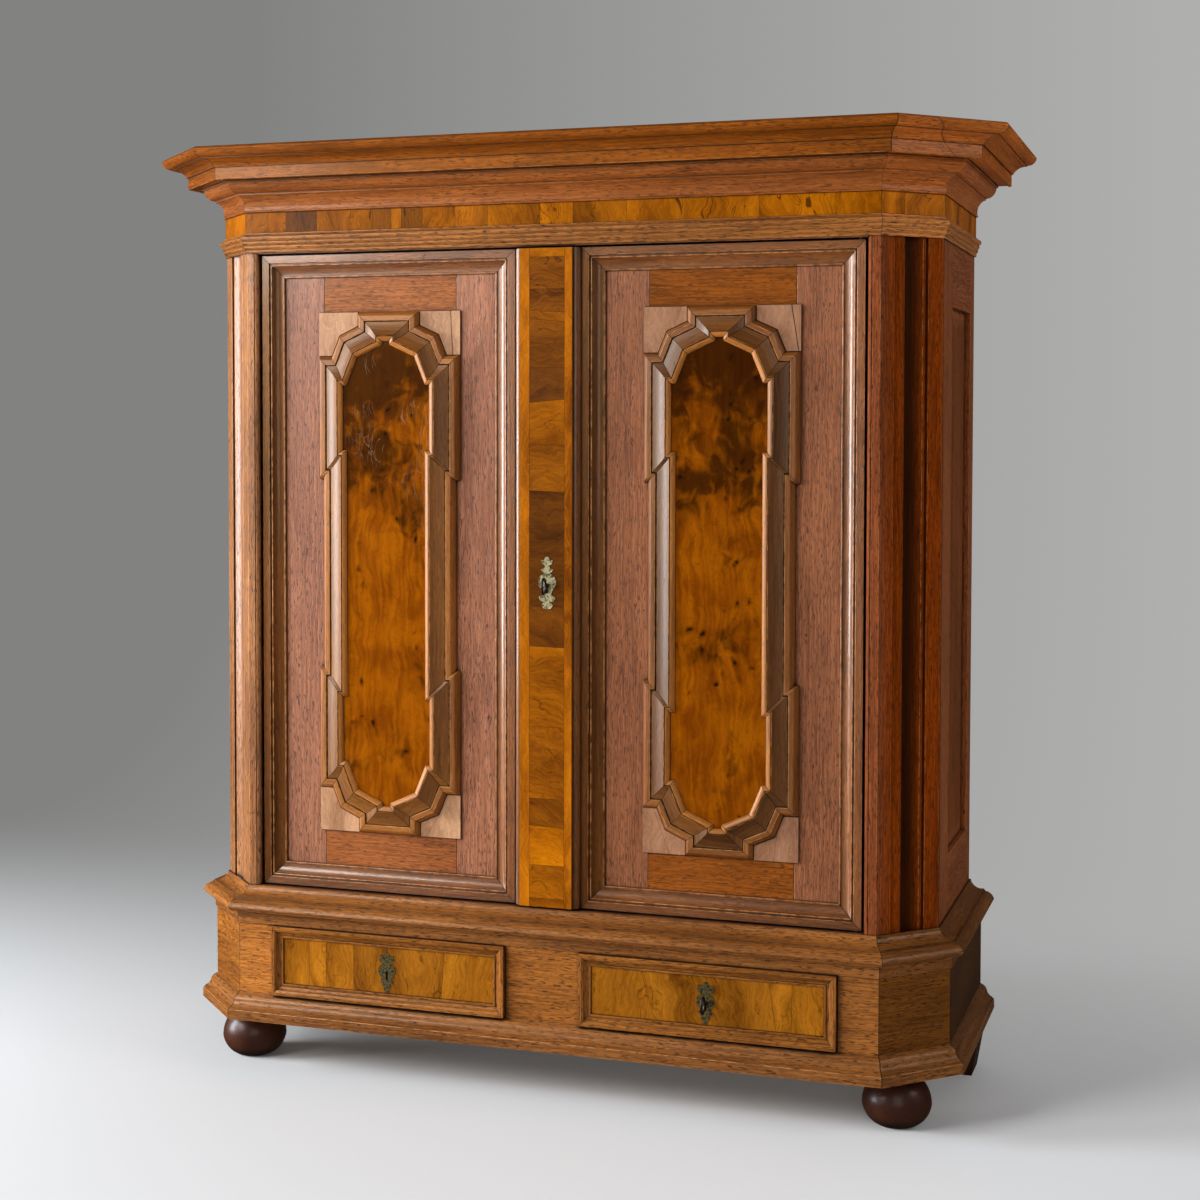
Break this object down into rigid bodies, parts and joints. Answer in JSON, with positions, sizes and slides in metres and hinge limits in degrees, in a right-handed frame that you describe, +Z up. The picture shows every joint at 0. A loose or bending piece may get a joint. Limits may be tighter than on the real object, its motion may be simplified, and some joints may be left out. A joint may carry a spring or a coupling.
{
  "type": "hall cabinet",
  "caption": "Baroque knock-down hall cabinet on ball feet: chamfered fluted corners, panelled doors with cushion frames round burl, a closing strip, base drawers and a stepped cornice.",
  "frame": {"origin": "on the floor, under the middle of the plan's bounding box", "axes": "+X to the viewer's right, +Y to the back, +Z up"},
  "size_m": [1.95, 0.729, 2.088],
  "materials": {
    "oak": "waxed oak, semi-gloss",
    "burl": "polished burl veneer",
    "walnut_veneer": "polished walnut veneer",
    "plain_boards": "plain softwood, unpolished",
    "feet_stain": "dark stained, polished",
    "iron": "forged, dark",
    "brass": "old, tarnished"
  },
  "bodies": {
    "carcass": {"ball_feet": "feet_stain", "base_floor": "plain_boards", "base_end_boards": "oak", "base_front_frame": "oak", "base_deck": "plain_boards", "plinth_moulding": "oak", "waist_moulding": "oak", "left_corner_post": "oak", "right_corner_post": "oak", "side_frames": "oak", "side_panels": "oak", "back_boards": "plain_boards", "door_sill": "oak", "door_head": "oak", "pivot_sockets": "iron", "ceiling_board": "plain_boards", "hat_shelf": "plain_boards", "peg_rail": "plain_boards", "architrave_moulding": "oak", "frieze_boards": "oak", "frieze_veneer": "walnut_veneer", "bed_moulding": "oak", "crown_moulding": "oak", "top_boards": "plain_boards", "drawer_runners": "plain_boards"},
    "left_door": {"left_door_frame": "oak", "left_door_panel": "oak", "left_door_moulding": "oak", "left_cushion_moulding": "oak", "left_burl_panel": "burl", "left_spandrels": "walnut_veneer", "left_door_irons": "iron"},
    "right_door": {"right_door_frame": "oak", "right_door_panel": "oak", "right_door_moulding": "oak", "right_cushion_moulding": "oak", "right_burl_panel": "burl", "right_spandrels": "walnut_veneer", "right_door_pivots": "iron", "closing_strip": "oak", "strip_beads": "oak", "door_lock_case": "iron", "door_escutcheon": "brass"},
    "top_bolt": {"top_bolt": "iron"},
    "bottom_bolt": {"bottom_bolt": "iron"},
    "door_key": {"door_key": "iron"},
    "door_lock_bolt": {"door_lock_bolt": "iron"},
    "left_drawer": {"left_drawer_box": "oak", "left_drawer_moulding": "oak", "left_drawer_field": "walnut_veneer", "left_drawer_lock_case": "iron", "left_drawer_escutcheon": "brass"},
    "right_drawer": {"right_drawer_box": "oak", "right_drawer_moulding": "oak", "right_drawer_field": "walnut_veneer", "right_drawer_lock_case": "iron", "right_drawer_escutcheon": "brass"},
    "left_drawer_lock_bolt": {"left_drawer_lock_bolt": "iron"},
    "right_drawer_lock_bolt": {"right_drawer_lock_bolt": "iron"},
    "drawer_key": {"drawer_key": "iron"}
  },
  "joints": [
    {"name": "left_door_hinge", "type": "hinge", "parent": "carcass", "child": "left_door", "pos_m": [-0.682, -0.2055, 1.1375], "axis": [0, 0, -1], "range_deg": [0, 100]},
    {"name": "right_door_hinge", "type": "hinge", "parent": "carcass", "child": "right_door", "pos_m": [0.682, -0.2055, 1.1375], "axis": [0, 0, 1], "range_deg": [0, 100]},
    {"name": "left_drawer_slide", "type": "slide", "parent": "carcass", "child": "left_drawer", "axis": [0, -1, 0], "range_m": [0, 0.35]},
    {"name": "right_drawer_slide", "type": "slide", "parent": "carcass", "child": "right_drawer", "axis": [0, -1, 0], "range_m": [0, 0.35]},
    {"name": "top_bolt_slide", "type": "slide", "parent": "left_door", "child": "top_bolt", "axis": [0, 0, 1], "range_m": [0, 0.026]},
    {"name": "bottom_bolt_slide", "type": "slide", "parent": "left_door", "child": "bottom_bolt", "axis": [0, 0, -1], "range_m": [0, 0.026]},
    {"name": "door_key_turn", "type": "hinge", "parent": "right_door", "child": "door_key", "pos_m": [0.004, -0.2355, 1.124], "axis": [0, 1, 0], "range_deg": [0, 180]},
    {"name": "door_lock_throw", "type": "slide", "parent": "right_door", "child": "door_lock_bolt", "axis": [-1, 0, 0], "range_m": [0, 0.024]},
    {"name": "drawer_key_turn", "type": "hinge", "parent": "right_drawer", "child": "drawer_key", "pos_m": [0.368, -0.256, 0.2498], "axis": [0, 1, 0], "range_deg": [0, 180]},
    {"name": "right_drawer_lock_throw", "type": "slide", "parent": "right_drawer", "child": "right_drawer_lock_bolt", "axis": [0, 0, 1], "range_m": [0, 0.018]},
    {"name": "left_drawer_lock_throw", "type": "slide", "parent": "left_drawer", "child": "left_drawer_lock_bolt", "axis": [0, 0, 1], "range_m": [0, 0.018]}
  ],
  "couplings": [
    {"joint": "door_key_turn", "follows": "door_lock_throw", "rad_per_m": 130.5},
    {"joint": "drawer_key_turn", "follows": "right_drawer_lock_throw", "rad_per_m": 174}
  ]
}
